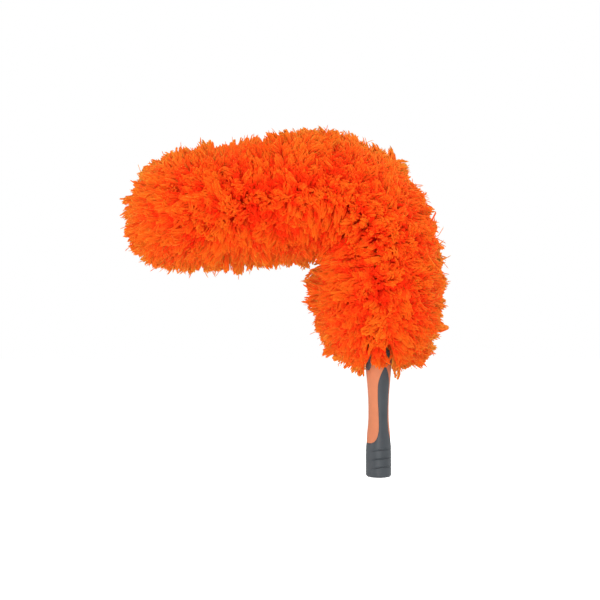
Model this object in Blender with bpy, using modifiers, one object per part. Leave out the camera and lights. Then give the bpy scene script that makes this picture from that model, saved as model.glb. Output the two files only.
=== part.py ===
"""Bendable microfiber duster: pole handle, wire core and pile head.

Metres, +Z up. The origin is the middle of the pole socket's mouth, under the handle.
"""
import math

import bmesh
import bpy
from mathutils import Matrix, Vector

# Clearances between pieces, and the overrun of a cutter past what it cuts.
FIT_GAP = 0.0003
OVERRUN = 0.004
MERGE_DISTANCE = 0.00001

# Handle body, turned about Z: a straight grip, a narrow waist and a wider neck.
GRIP_RADIUS = 0.0154
GRIP_TOP = 0.030
FOOT_FILLET = 0.003
WAIST_RADIUS = 0.01225
WAIST_LOW = 0.074
WAIST_HIGH = 0.084
NECK_RADIUS = 0.0160
NECK_HEIGHT = 0.146
HANDLE_TOP = 0.158
HANDLE_STEPS = 40
FLARE_ROWS = 6
FILLET_ROWS = 3

# Socket for a screw-in pole, open at the bottom.
SOCKET_RADIUS = 0.0099
SOCKET_DEPTH = 0.050
SOCKET_CHAMFER = 0.0010

# The front of the handle is turned to the right about Z.
HANDLE_TURN = math.radians(28)

# Soft inlay in a pocket round the handle, parted by the body's two pointed tongues.
INLAY_THICKNESS = 0.0022
INLAY_BOTTOM = 0.0408
LOBE_HEIGHT = 0.0232
TONGUE_WAIST = 0.0061
TONGUE_BELLY = 0.0075
TONGUE_WAIST_HEIGHT = 0.070
TONGUE_BELLY_HEIGHT = 0.109
TONGUE_TIP_HEIGHT = 0.134
OUTLINE_ROWS = 8

# Collar round the neck, with two round-ended lugs that hang over the inlay's sides.
COLLAR_BOTTOM = 0.144
LUG_BOTTOM = 0.128
LUG_HALF_WIDTH = 0.0058

# Slanting grip grooves, deepest at the front and back and fading out at the sides.
GROOVE_COUNT = 3
GROOVE_TOP_HEIGHT = 0.0290
GROOVE_SPACING = 0.0103
GROOVE_RISE = 0.005
GROOVE_RADIUS = 0.0013
GROOVE_DEPTH = 0.0012
GROOVE_SEGMENTS = 32
GROOVE_SIDES = 6

# Wire core: one wire bent into a hairpin, its legs side by side along Y.
WIRE_RADIUS = 0.0021
WIRE_OFFSET = 0.0050
WIRE_SEAT_HEIGHT = 0.118
WIRE_ARC_POINTS = 9
HAIRPIN_POINTS = 8

# Plug that holds the wire in the handle's top, and the pin that holds the plug.
PLUG_RADIUS = 0.0095
PLUG_BOTTOM = 0.112
PLUG_FLANGE_RADIUS = 0.0155
PLUG_FLANGE = 0.003
PLUG_CHAMFER = 0.001
HOLE_SIDES = 16
PIN_RADIUS = 0.0015
PIN_HEIGHT = 0.150

# The bend of the head: an even arc towards -X, in the XZ plane.
BEND_START = 0.254
BEND_RADIUS = 0.079
BEND_ANGLE = math.radians(94)
BEND_LINKS = 3

# Past the bend, the core and the pile run on straight by these lengths.
CORE_REACH = 0.160
PILE_REACH = 0.222

# Cap on the end of the hairpin.
CAP_WALL = 0.0012
CAP_LENGTH = 0.026
CAP_STEPS = 24

# Knitted backing sleeve over the core, with a wide hem over the collar.
SLEEVE_WALL = 0.0012
SLEEVE_STEPS = 24
HEM_LAP = 0.011
HEM_TAPER = 0.014
SLEEVE_ARC_ROWS = 5

# Elastic cord that draws the hem in over the collar.
ELASTIC_RADIUS = 0.0015
ELASTIC_RISE = 0.004
ELASTIC_SEGMENTS = 32
ELASTIC_SIDES = 6

# Pile of yarn round the sleeve, in bands of pointed locks.
PILE_RADIUS = 0.079
LOCK_DEPTH = 0.011
LOCK_UNEVENNESS = 0.003
LOCK_LENGTH = 0.0095
PILE_STEPS = 30
INNER_CLEARANCE = 0.005
INNER_FLARE = 0.5
NECK_BAND_TOP = 0.196
SKIRT_SHOULDER = 0.184
SKIRT_BOTTOM = 0.137
SKIRT_ROWS = 6
TIP_BAND_LENGTH = 0.079
TIP_ROWS = 7

# Past the bend the pile gets slimmer, and its far end droops to the inner side.
SLIM_RADIUS = 0.0735
SLIM_START = 0.420
SLIM_END = 0.490
DROOP = 0.014
DROOP_START = 0.450
# Swells and hollows of the pile: place along the core, angle round it from the bend's
# outer side, rise and spread.
PILE_SWELLS = (
    (0.286, 0, -0.005, 0.020),
    (0.320, 0, 0.008, 0.024),
    (0.378, 0, 0.005, 0.026),
    (0.478, math.radians(180), 0.009, 0.032),
)

# Colours, roughness and metallic value of each material.
MATERIALS = {
    "grey_plastic": ((0.098, 0.105, 0.112), 0.45, 0.0),
    "soft_inlay": ((0.83, 0.235, 0.098), 0.6, 0.0),
    "coated_wire": ((0.55, 0.55, 0.56), 0.35, 0.0),
    "steel_pin": ((0.60, 0.60, 0.62), 0.3, 1.0),
    "clear_cap": ((0.80, 0.80, 0.80), 0.5, 0.0),
    "backing_fabric": ((0.86, 0.70, 0.66), 0.9, 0.0),
    "elastic_cord": ((0.75, 0.20, 0.08), 0.8, 0.0),
    "pile_yarn": ((0.93, 0.10, 0.008), 0.95, 0.0),
}

# Sizes that follow from the ones above.
POCKET_DEPTH = INLAY_THICKNESS + FIT_GAP
PLUG_BORE = PLUG_RADIUS + FIT_GAP
CAP_RADIUS = WIRE_OFFSET + WIRE_RADIUS + FIT_GAP + CAP_WALL
SLEEVE_BORE = CAP_RADIUS + FIT_GAP
SLEEVE_RADIUS = SLEEVE_BORE + SLEEVE_WALL
HEM_BORE = NECK_RADIUS + FIT_GAP
HEM_RADIUS = HEM_BORE + SLEEVE_WALL
HEM_BOTTOM = HANDLE_TOP - HEM_LAP
HEM_TOP = HANDLE_TOP + FIT_GAP + PLUG_FLANGE + FIT_GAP
ELASTIC_RING = HEM_RADIUS + FIT_GAP + ELASTIC_RADIUS
ELASTIC_HEIGHT = HEM_BOTTOM + ELASTIC_RISE
PILE_BORE = SLEEVE_RADIUS + FIT_GAP
VALLEY_RADIUS = PILE_RADIUS - LOCK_DEPTH
BEND_END = BEND_START + BEND_RADIUS * BEND_ANGLE
CORE_END = BEND_END + CORE_REACH
SLEEVE_END = CORE_END + FIT_GAP + CAP_WALL + FIT_GAP + SLEEVE_WALL
PILE_END = BEND_END + PILE_REACH
TIP_START = PILE_END - TIP_BAND_LENGTH
UPPER_MIDDLE = (BEND_END + TIP_START) / 2
BEND_MIDDLE = (BEND_START + BEND_END) / 2
BEND_CENTRE = Vector((-BEND_RADIUS, 0, BEND_START))
LINK_ANGLE = BEND_ANGLE / BEND_LINKS
HINGE_RADIUS = BEND_RADIUS * LINK_ANGLE / (2 * math.sin(LINK_ANGLE / 2))


def start_collections():
    """Empty the scene and make one collection for the parts and one for the cutters."""
    for old in list(bpy.data.objects):
        bpy.data.objects.remove(old, do_unlink=True)
    made = []
    for name in ("microfiber_duster", "cutters"):
        made.append(bpy.data.collections.new(name))
        bpy.context.scene.collection.children.link(made[-1])
    return made


parts, cutters = start_collections()


def make_materials():
    """Make every material from its colour, roughness and metallic value."""
    made = {}
    for name, (colour, roughness, metallic) in MATERIALS.items():
        material = bpy.data.materials.new(name)
        material.use_nodes = True
        shader = material.node_tree.nodes["Principled BSDF"]
        shader.inputs["Base Color"].default_value = (*colour, 1)
        shader.inputs["Roughness"].default_value = roughness
        shader.inputs["Metallic"].default_value = metallic
        material.diffuse_color = (*colour, 1)
        made[name] = material
    return made


materials = make_materials()


def add_part(name, data, material):
    """Put a piece in the parts collection, with its own material."""
    piece = bpy.data.objects.new(name, data)
    parts.objects.link(piece)
    data.materials.clear()
    data.materials.append(materials[material])
    return piece


def add_cutter(piece):
    """Keep a cutter out of the render, in its own collection, drawn as wire."""
    for holder in list(piece.users_collection):
        holder.objects.unlink(piece)
    cutters.objects.link(piece)
    piece.hide_render = True
    piece.display_type = 'WIRE'
    return piece


def settle(piece):
    """Swap a piece's modifiers for the mesh that they make."""
    bpy.context.view_layer.update()
    graph = bpy.context.evaluated_depsgraph_get()
    mesh = bpy.data.meshes.new_from_object(piece.evaluated_get(graph))
    piece.modifiers.clear()
    piece.data = mesh
    return piece


def smooth(piece):
    """Shade a round piece smooth, with its sharp edges kept."""
    piece.data.shade_smooth()
    piece.data.set_sharp_from_angle(angle=math.radians(40))
    return piece


def cut(piece, cutter, operation='DIFFERENCE'):
    """Cut a piece with another, or keep only what the two share."""
    boolean = piece.modifiers.new(cutter.name, 'BOOLEAN')
    boolean.operation = operation
    boolean.solver = 'EXACT'
    boolean.object = cutter
    return piece


def spread(start, end, steps):
    """Give evenly spaced values from start to end, both included."""
    return [start + (end - start) * step / steps for step in range(steps + 1)]


def ease(share):
    """Ease a share of the way from 0 to 1 in and out."""
    return share * share * (3 - 2 * share)


def between(height, low, high, low_value, high_value):
    """Ease a value from one height to another."""
    share = min(max((height - low) / (high - low), 0), 1)
    return low_value + (high_value - low_value) * ease(share)


def handle_radius(height):
    """Give the handle's outer radius at a height."""
    if height < WAIST_LOW:
        return between(height, GRIP_TOP, WAIST_LOW, GRIP_RADIUS, WAIST_RADIUS)
    return between(height, WAIST_HIGH, NECK_HEIGHT, WAIST_RADIUS, NECK_RADIUS)


def flare_heights(low, high):
    """Give the heights, from high to low, of the rows that a turned handle piece needs."""
    rows = spread(GRIP_TOP, WAIST_LOW, FLARE_ROWS) + spread(WAIST_HIGH, NECK_HEIGHT, FLARE_ROWS)
    inside = [height for height in rows if low + FIT_GAP < height < high - FIT_GAP]
    return [high] + sorted(inside, reverse=True) + [low]


def turned(name, outline, steps, closed=True):
    """Turn (radius, height) points about Z; they run down the outer side first."""
    mesh = bpy.data.meshes.new(name)
    points = [(radius, 0, height) for radius, height in outline]
    edges = [(i, i + 1) for i in range(len(points) - 1)]
    if closed:
        edges.append((len(points) - 1, 0))
    mesh.from_pydata(points, edges, [])
    piece = bpy.data.objects.new(name, mesh)
    bpy.context.scene.collection.objects.link(piece)
    screw = piece.modifiers.new("turn", 'SCREW')
    screw.steps = steps
    screw.render_steps = steps
    screw.use_merge_vertices = True
    screw.merge_threshold = MERGE_DISTANCE
    settle(piece)
    data = piece.data
    data.name = name
    bpy.data.objects.remove(piece)
    return data


def meshed(shape):
    """Make a curve's shape a welded mesh in the same place."""
    bpy.context.view_layer.update()
    graph = bpy.context.evaluated_depsgraph_get()
    mesh = bpy.data.meshes.new_from_object(shape.evaluated_get(graph))
    weld = bmesh.new()
    weld.from_mesh(mesh)
    bmesh.ops.remove_doubles(weld, verts=weld.verts, dist=MERGE_DISTANCE)
    bmesh.ops.recalc_face_normals(weld, faces=weld.faces)
    weld.to_mesh(mesh)
    weld.free()
    solid = bpy.data.objects.new(shape.name + "_solid", mesh)
    bpy.context.scene.collection.objects.link(solid)
    solid.matrix_world = shape.matrix_world
    bpy.data.objects.remove(shape)
    return solid


def upright_prism(name, outline, turn):
    """Extrude an upright outline through the handle, facing the given turn about Z."""
    curve = bpy.data.curves.new(name, 'CURVE')
    curve.dimensions = '2D'
    curve.fill_mode = 'BOTH'
    curve.extrude = NECK_RADIUS + OVERRUN
    spline = curve.splines.new('POLY')
    spline.points.add(len(outline) - 1)
    for point, (across, height) in zip(spline.points, outline):
        point.co = (across, height, 0, 1)
    spline.use_cyclic_u = True
    shape = bpy.data.objects.new(name, curve)
    bpy.context.scene.collection.objects.link(shape)
    shape.rotation_euler = (math.radians(90), 0, turn)
    return add_cutter(meshed(shape))


def mirrored(right_side):
    """Close an outline whose right side runs upwards with its mirror image."""
    left_side = [(-across, height) for across, height in reversed(right_side) if across > 0]
    return right_side + left_side


def tongue_outline(clearance):
    """Outline the pointed tongue: flared root between the lobes, waist, belly and tip."""
    across = GRIP_RADIUS + OVERRUN
    waist = TONGUE_WAIST + clearance
    belly = TONGUE_BELLY + clearance
    tip = TONGUE_TIP_HEIGHT + clearance
    lobe_width = GRIP_RADIUS - waist
    lobe_height = LOBE_HEIGHT - clearance
    lobe_middle = INLAY_BOTTOM + LOBE_HEIGHT
    right = [(across, INLAY_BOTTOM - OVERRUN), (across, lobe_middle - lobe_height)]
    for angle in spread(0, math.radians(90), OUTLINE_ROWS):
        right.append((
            GRIP_RADIUS - lobe_width * math.sin(angle),
            lobe_middle - lobe_height * math.cos(angle),
        ))
    for height in spread(TONGUE_WAIST_HEIGHT, TONGUE_BELLY_HEIGHT, OUTLINE_ROWS // 2):
        half = between(height, TONGUE_WAIST_HEIGHT, TONGUE_BELLY_HEIGHT, waist, belly)
        right.append((half, height))
    for height in spread(TONGUE_BELLY_HEIGHT, tip, OUTLINE_ROWS)[1:]:
        share = (height - TONGUE_BELLY_HEIGHT) / (tip - TONGUE_BELLY_HEIGHT)
        right.append((belly * (1 - share * share), height))
    return mirrored(right)


def collar_outline(clearance):
    """Outline the collar's band with its round-ended lug below."""
    across = NECK_RADIUS + OVERRUN
    half = LUG_HALF_WIDTH + clearance
    middle = LUG_BOTTOM + LUG_HALF_WIDTH
    right = []
    for angle in spread(0, math.radians(90), OUTLINE_ROWS):
        right.append((half * math.sin(angle), middle - half * math.cos(angle)))
    right.append((half, COLLAR_BOTTOM - clearance))
    right.append((across, COLLAR_BOTTOM - clearance))
    right.append((across, HANDLE_TOP + OVERRUN))
    return mirrored(right)


def handle_ring(inset, proud, low, high):
    """Outline a ring that follows the handle's surface, from proud of it to inset."""
    heights = flare_heights(low, high)
    outer = [(handle_radius(height) + proud, height) for height in heights]
    inner = [(handle_radius(height) - inset, height) for height in reversed(heights)]
    return outer + inner


def add_cylinder(name, radius, low, high, across=0, lying=False):
    """Add a round cutter or pin, upright at a place along Y or lying along X."""
    length = high - low
    bpy.ops.mesh.primitive_cylinder_add(
        vertices=HOLE_SIDES, radius=radius, depth=length,
        location=(0, across, PIN_HEIGHT if lying else (low + high) / 2),
        rotation=(0, math.radians(90) if lying else 0, 0),
    )
    cylinder = bpy.context.object
    cylinder.name = name
    return cylinder


def groove_cutters():
    """Make the tilted rings that cut the grip grooves in the front and the back."""
    tilt = math.atan2(GROOVE_RISE, GRIP_RADIUS)
    ring = GRIP_RADIUS + GROOVE_RADIUS + FIT_GAP
    reach = GRIP_RADIUS + GROOVE_RADIUS - GROOVE_DEPTH
    shift = ring * math.cos(tilt) - reach
    made = []
    for side in range(2):
        turn = HANDLE_TURN + side * math.radians(180)
        back = Vector((-math.sin(turn), math.cos(turn), 0))
        for index in range(GROOVE_COUNT):
            height = GROOVE_TOP_HEIGHT - index * GROOVE_SPACING
            bpy.ops.mesh.primitive_torus_add(
                major_radius=ring, minor_radius=GROOVE_RADIUS,
                major_segments=GROOVE_SEGMENTS, minor_segments=GROOVE_SIDES,
                location=back * shift + Vector((0, 0, height)),
            )
            torus = bpy.context.object
            torus.name = f"groove_cutter_{side + 1}_{index + 1}"
            torus.rotation_euler = (-tilt, 0, turn)
            made.append(add_cutter(torus))
    return made


def build_handle():
    """Turn the body with its two bores, and cut its pocket, grooves and pin hole."""
    outline = [(handle_radius(z), z) for z in flare_heights(FOOT_FILLET, HANDLE_TOP)]
    for angle in spread(0, math.radians(90), FILLET_ROWS)[1:]:
        outline.append((
            GRIP_RADIUS - FOOT_FILLET * (1 - math.cos(angle)),
            FOOT_FILLET * (1 - math.sin(angle)),
        ))
    outline += [
        (SOCKET_RADIUS + SOCKET_CHAMFER, 0),
        (SOCKET_RADIUS, SOCKET_CHAMFER),
        (SOCKET_RADIUS, SOCKET_DEPTH),
        (0, SOCKET_DEPTH),
    ]
    plug_floor = PLUG_BOTTOM - FIT_GAP
    outline = [(0, plug_floor), (PLUG_BORE, plug_floor), (PLUG_BORE, HANDLE_TOP)] + outline
    body = add_part("handle_body", turned("handle_body", outline, HANDLE_STEPS, False),
                    "grey_plastic")

    pocket = bpy.data.objects.new("pocket_cutter", turned("pocket_cutter", handle_ring(
        POCKET_DEPTH, OVERRUN, INLAY_BOTTOM, HANDLE_TOP + OVERRUN), HANDLE_STEPS))
    bpy.context.scene.collection.objects.link(pocket)
    add_cutter(pocket)
    cut(pocket, upright_prism("tongue", tongue_outline(0), HANDLE_TURN))
    cut(body, pocket)
    for groove in groove_cutters():
        cut(body, groove)
    pin_hole = add_cutter(add_cylinder("pin_hole_cutter", PIN_RADIUS + FIT_GAP,
                                       -NECK_RADIUS, NECK_RADIUS, lying=True))
    cut(body, pin_hole)
    smooth(settle(body))

    inlay = add_part("grip_inlay", turned("grip_inlay", handle_ring(
        INLAY_THICKNESS, 0, INLAY_BOTTOM + FIT_GAP, HANDLE_TOP), HANDLE_STEPS), "soft_inlay")
    cut(inlay, upright_prism("tongue_clearance", tongue_outline(FIT_GAP), HANDLE_TURN))
    side_turn = HANDLE_TURN + math.radians(90)
    cut(inlay, upright_prism("collar_clearance", collar_outline(FIT_GAP), side_turn))
    smooth(settle(inlay))

    collar = add_part("neck_collar", turned("neck_collar", handle_ring(
        INLAY_THICKNESS, 0, LUG_BOTTOM - OVERRUN, HANDLE_TOP), HANDLE_STEPS), "grey_plastic")
    cut(collar, upright_prism("collar", collar_outline(0), side_turn), 'INTERSECT')
    smooth(settle(collar))
    return pin_hole


def build_plug(pin_hole):
    """Turn the plug that seats the wires, bore it for them, and add its cross pin."""
    flange_low = HANDLE_TOP + FIT_GAP
    flange_high = flange_low + PLUG_FLANGE
    outline = [
        (0, flange_high),
        (PLUG_FLANGE_RADIUS - PLUG_CHAMFER, flange_high),
        (PLUG_FLANGE_RADIUS, flange_high - PLUG_CHAMFER),
        (PLUG_FLANGE_RADIUS, flange_low),
        (PLUG_RADIUS, flange_low),
        (PLUG_RADIUS, PLUG_BOTTOM + PLUG_CHAMFER),
        (PLUG_RADIUS - PLUG_CHAMFER, PLUG_BOTTOM),
        (0, PLUG_BOTTOM),
    ]
    plug = add_part("core_plug", turned("core_plug", outline, HANDLE_STEPS, False),
                    "grey_plastic")
    for index, side in enumerate((-1, 1)):
        cut(plug, add_cutter(add_cylinder(
            f"wire_hole_cutter_{index + 1}", WIRE_RADIUS + FIT_GAP,
            WIRE_SEAT_HEIGHT - FIT_GAP, flange_high + OVERRUN, side * WIRE_OFFSET)))
    cut(plug, pin_hole)
    smooth(settle(plug))

    half_pin = NECK_RADIUS - POCKET_DEPTH - FIT_GAP
    pin = add_cylinder("core_pin", PIN_RADIUS, -half_pin, half_pin, lying=True)
    for holder in list(pin.users_collection):
        holder.objects.unlink(pin)
    parts.objects.link(pin)
    pin.data.materials.append(materials["steel_pin"])
    smooth(pin)


def bent(along, out, side, slide=0):
    """Place a point of the straight duster on the bent one."""
    turn = min(max((along - BEND_START) / BEND_RADIUS, 0), BEND_ANGLE)
    outward = Vector((math.cos(turn), 0, math.sin(turn)))
    forward = Vector((-math.sin(turn), 0, math.cos(turn)))
    straight = along - BEND_START - turn * BEND_RADIUS
    across = max(out, INNER_CLEARANCE - BEND_RADIUS - INNER_FLARE * abs(straight))
    place = BEND_CENTRE + outward * (BEND_RADIUS + across) + forward * (straight + slide)
    return place + Vector((0, side, 0))


def bend_mesh(mesh, low, high):
    """Bend a mesh turned about Z along the core, with half a gap at each joined end."""
    for vertex in mesh.vertices:
        out, side, along = vertex.co
        slide = 0
        if abs(along - low) < MERGE_DISTANCE:
            slide = FIT_GAP / 2
        if abs(along - high) < MERGE_DISTANCE:
            slide = -FIT_GAP / 2
        vertex.co = bent(along, out, side, slide)
    return mesh


def wire(name, points):
    """Run a round wire with flat ends through points along the bent core."""
    curve = bpy.data.curves.new(name, 'CURVE')
    curve.dimensions = '3D'
    curve.bevel_depth = WIRE_RADIUS
    curve.bevel_resolution = 2
    curve.use_fill_caps = True
    spline = curve.splines.new('POLY')
    spline.points.add(len(points) - 1)
    for point, place in zip(spline.points, points):
        point.co = (*place, 1)
    return add_part(name, curve, "coated_wire")


def build_wires():
    """Make each leg's lower and bent stretches, and the hairpin past the bend."""
    made = {"bend_link_1": [], "bend_link_2": [], "head": []}
    half = FIT_GAP / 2
    for place, side in (("front", -WIRE_OFFSET), ("back", WIRE_OFFSET)):
        wire(f"wire_lower_{place}", [
            bent(WIRE_SEAT_HEIGHT, 0, side), bent(BEND_START - half, 0, side)])
        for link, low, high in ((1, BEND_START, BEND_MIDDLE), (2, BEND_MIDDLE, BEND_END)):
            stretch = spread(low + half, high - half, WIRE_ARC_POINTS - 1)
            made[f"bend_link_{link}"].append(wire(f"wire_bend_{link}_{place}", [
                bent(along, 0, side) for along in stretch]))
    turn_start = CORE_END - WIRE_RADIUS - WIRE_OFFSET
    hairpin = [bent(BEND_END + half, 0, -WIRE_OFFSET)]
    for angle in spread(0, math.radians(180), HAIRPIN_POINTS):
        hairpin.append(bent(turn_start + WIRE_OFFSET * math.sin(angle), 0,
                            -WIRE_OFFSET * math.cos(angle)))
    hairpin.append(bent(BEND_END + half, 0, WIRE_OFFSET))
    made["head"].append(wire("wire_hairpin", hairpin))
    return made


def core_part(name, outline, steps, material, low, high, closed=True):
    """Turn a piece about the core and bend it with the core."""
    mesh = bend_mesh(turned(name, outline, steps, closed), low, high)
    return smooth(add_part(name, mesh, material))


def build_cap():
    """Make the dipped cap over the hairpin's end."""
    end = CORE_END + FIT_GAP + CAP_WALL
    start = end - CAP_LENGTH
    inner = CAP_RADIUS - CAP_WALL
    outline = [
        (0, end),
        (CAP_RADIUS - 2 * CAP_WALL, end),
        (CAP_RADIUS, end - 2 * CAP_WALL),
        (CAP_RADIUS, start),
        (inner, start),
        (inner, end - CAP_WALL),
        (0, end - CAP_WALL),
    ]
    return core_part("tip_cap", outline, CAP_STEPS, "clear_cap", BEND_START, BEND_END, False)


def build_sleeve():
    """Make the backing sleeve: hem and lower run, two bent stretches and a closed end."""
    taper_top = HEM_TOP + HEM_TAPER
    core_part("sleeve_lower", [
        (SLEEVE_RADIUS, BEND_START),
        (SLEEVE_RADIUS, taper_top),
        (HEM_RADIUS, HEM_TOP),
        (HEM_RADIUS, HEM_BOTTOM),
        (HEM_BORE, HEM_BOTTOM),
        (HEM_BORE, HEM_TOP),
        (SLEEVE_BORE, taper_top),
        (SLEEVE_BORE, BEND_START),
    ], SLEEVE_STEPS, "backing_fabric", HEM_BOTTOM, BEND_START)
    bends = []
    for link, low, high in ((1, BEND_START, BEND_MIDDLE), (2, BEND_MIDDLE, BEND_END)):
        rows = spread(low, high, SLEEVE_ARC_ROWS)
        outline = [(SLEEVE_RADIUS, along) for along in reversed(rows)]
        outline += [(SLEEVE_BORE, along) for along in rows]
        bends.append(core_part(f"sleeve_bend_{link}", outline, SLEEVE_STEPS,
                               "backing_fabric", low, high))
    inner_end = SLEEVE_END - SLEEVE_WALL
    upper = core_part("sleeve_upper", [
        (0, SLEEVE_END),
        (SLEEVE_RADIUS - 2 * SLEEVE_WALL, SLEEVE_END),
        (SLEEVE_RADIUS, SLEEVE_END - 2 * SLEEVE_WALL),
        (SLEEVE_RADIUS, BEND_END),
        (SLEEVE_BORE, BEND_END),
        (SLEEVE_BORE, inner_end),
        (0, inner_end),
    ], SLEEVE_STEPS, "backing_fabric", BEND_END, PILE_END, False)
    return bends, upper


def build_elastic():
    """Make the elastic cord round the hem."""
    bpy.ops.mesh.primitive_torus_add(
        major_radius=ELASTIC_RING, minor_radius=ELASTIC_RADIUS,
        major_segments=ELASTIC_SEGMENTS, minor_segments=ELASTIC_SIDES,
        location=(0, 0, ELASTIC_HEIGHT),
    )
    elastic = bpy.context.object
    elastic.name = "neck_elastic"
    for holder in list(elastic.users_collection):
        holder.objects.unlink(elastic)
    parts.objects.link(elastic)
    elastic.data.materials.append(materials["elastic_cord"])
    smooth(elastic)


def shape_pile(point):
    """Give a point on the straight pile its swells, the slimmer run and the droop."""
    out, side, along = point
    reach = PILE_RADIUS - between(along, SLIM_START, SLIM_END, 0, PILE_RADIUS - SLIM_RADIUS)
    for place, angle, rise, spread_size in PILE_SWELLS:
        middle = bent(place, PILE_RADIUS * math.cos(angle), PILE_RADIUS * math.sin(angle))
        gap = (bent(along, out, side) - middle).length
        reach += rise * math.exp(-(gap / spread_size) ** 2)
    far = min(max((along - DROOP_START) / (PILE_END - DROOP_START), 0), 1)
    size = reach / PILE_RADIUS
    return Vector((out * size - DROOP * far ** 2, side * size, along))


def pile_band(name, outer, bore, low, high, closed=True):
    """Turn a band of pile, pull every second point of its rows out into locks, and bend it.

    The outer rows are (radius, height, lean): a lock is pulled out along its row's lean,
    which is 0 straight out and negative down the core.
    """
    outline = [(radius, height) for radius, height, lean in outer] + bore
    mesh = turned(name, outline, PILE_STEPS, closed)
    step_angle = math.radians(360) / PILE_STEPS
    for vertex in mesh.vertices:
        radius = math.hypot(vertex.co.x, vertex.co.y)
        if any(abs(radius - bore_radius) + abs(vertex.co.z - height) < MERGE_DISTANCE
               for bore_radius, height in bore):
            continue
        for row, (row_radius, height, lean) in enumerate(outer[1:-1]):
            if abs(radius - row_radius) + abs(vertex.co.z - height) > MERGE_DISTANCE:
                continue
            angle = math.atan2(vertex.co.y, vertex.co.x)
            step = round(angle / step_angle)
            if (row + step) % 2:
                continue
            uneven = math.sin(2.4 * step + 1.7 * row) * math.sin(0.9 * step - 2.1 * row)
            reach = LOCK_DEPTH - LOCK_UNEVENNESS * abs(uneven)
            pulled = radius + reach * math.cos(lean)
            vertex.co.x = pulled * math.cos(angle)
            vertex.co.y = pulled * math.sin(angle)
            vertex.co.z += reach * math.sin(lean)
        vertex.co = shape_pile(vertex.co)
    bend_mesh(mesh, low, high)
    split = bmesh.new()
    split.from_mesh(mesh)
    bmesh.ops.triangulate(split, faces=split.faces, quad_method='SHORT_EDGE')
    split.to_mesh(mesh)
    split.free()
    return add_part(name, mesh, "pile_yarn")


def straight_rows(low, high):
    """Give a straight band's outer rows, from its far end down, a lock apart."""
    rows = max(round((high - low) / LOCK_LENGTH), 2)
    return [(VALLEY_RADIUS, height, 0) for height in spread(high, low, rows)]


def build_pile():
    """Make the drooping neck band, the straight and bent bands and the round tip."""
    hem_clear = ELASTIC_RING + ELASTIC_RADIUS + FIT_GAP
    hem_step = ELASTIC_HEIGHT + ELASTIC_RADIUS + FIT_GAP
    skirt = straight_rows(SKIRT_SHOULDER, NECK_BAND_TOP)[:-1]
    for lean in spread(0, math.radians(-90), SKIRT_ROWS):
        skirt.append((
            hem_clear + (VALLEY_RADIUS - hem_clear) * math.cos(lean),
            SKIRT_SHOULDER + (SKIRT_SHOULDER - SKIRT_BOTTOM) * math.sin(lean),
            lean,
        ))
    pile_band("pile_neck", skirt, [
        (hem_clear, hem_step),
        (HEM_RADIUS + FIT_GAP, hem_step),
        (HEM_RADIUS + FIT_GAP, HEM_TOP),
        (PILE_BORE, HEM_TOP + HEM_TAPER),
        (PILE_BORE, NECK_BAND_TOP),
    ], SKIRT_BOTTOM, NECK_BAND_TOP)

    made = {}
    for name, low, high, bore_rows in (
        ("lower", NECK_BAND_TOP, BEND_START, 1),
        ("bend_1", BEND_START, BEND_MIDDLE, SLEEVE_ARC_ROWS),
        ("bend_2", BEND_MIDDLE, BEND_END, SLEEVE_ARC_ROWS),
        ("upper_1", BEND_END, UPPER_MIDDLE, 1),
        ("upper_2", UPPER_MIDDLE, TIP_START, 1),
    ):
        bore = [(PILE_BORE, along) for along in spread(low, high, bore_rows)]
        made[name] = pile_band(f"pile_{name}", straight_rows(low, high), bore, low, high)

    bore_end = SLEEVE_END + FIT_GAP
    dome = VALLEY_RADIUS
    dome_start = PILE_END - LOCK_DEPTH - dome
    tip = []
    for lean in spread(math.radians(90), 0, TIP_ROWS):
        tip.append((VALLEY_RADIUS * math.cos(lean), dome_start + dome * math.sin(lean), lean))
    tip[0] = (0, dome_start + dome, math.radians(90))
    tip.append((VALLEY_RADIUS, TIP_START, 0))
    made["tip"] = pile_band("pile_tip", tip, [
        (PILE_BORE, TIP_START), (PILE_BORE, bore_end), (0, bore_end),
    ], TIP_START, PILE_END, False)
    return made


def build_links(pieces_by_body):
    """Hang each moving body's pieces on an empty at its hinge, one link on the next."""
    parent = None
    parent_place = Vector((0, 0, 0))
    for index, body in enumerate(("bend_link_1", "bend_link_2", "head")):
        angle = LINK_ANGLE * (index + 0.5)
        place = BEND_CENTRE + HINGE_RADIUS * Vector((math.cos(angle), 0, math.sin(angle)))
        empty = bpy.data.objects.new(f"{body}_hinge", None)
        parts.objects.link(empty)
        empty.parent = parent
        empty.location = place - parent_place
        for piece in pieces_by_body[body]:
            piece.parent = empty
            piece.matrix_parent_inverse = Matrix.Translation(-place)
        parent, parent_place = empty, place


build_plug(build_handle())
moving = build_wires()
cap = build_cap()
sleeve_bends, sleeve_upper = build_sleeve()
build_elastic()
pile = build_pile()
for link in (1, 2):
    moving[f"bend_link_{link}"] += [sleeve_bends[link - 1], pile[f"bend_{link}"]]
moving["head"] += [cap, sleeve_upper, pile["upper_1"], pile["upper_2"], pile["tip"]]
build_links(moving)
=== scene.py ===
"""Bendable microfiber duster: finishes, yarn pile and studio round the CAD parts."""
import math

import bpy
import numpy as np
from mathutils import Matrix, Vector, kdtree


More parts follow.
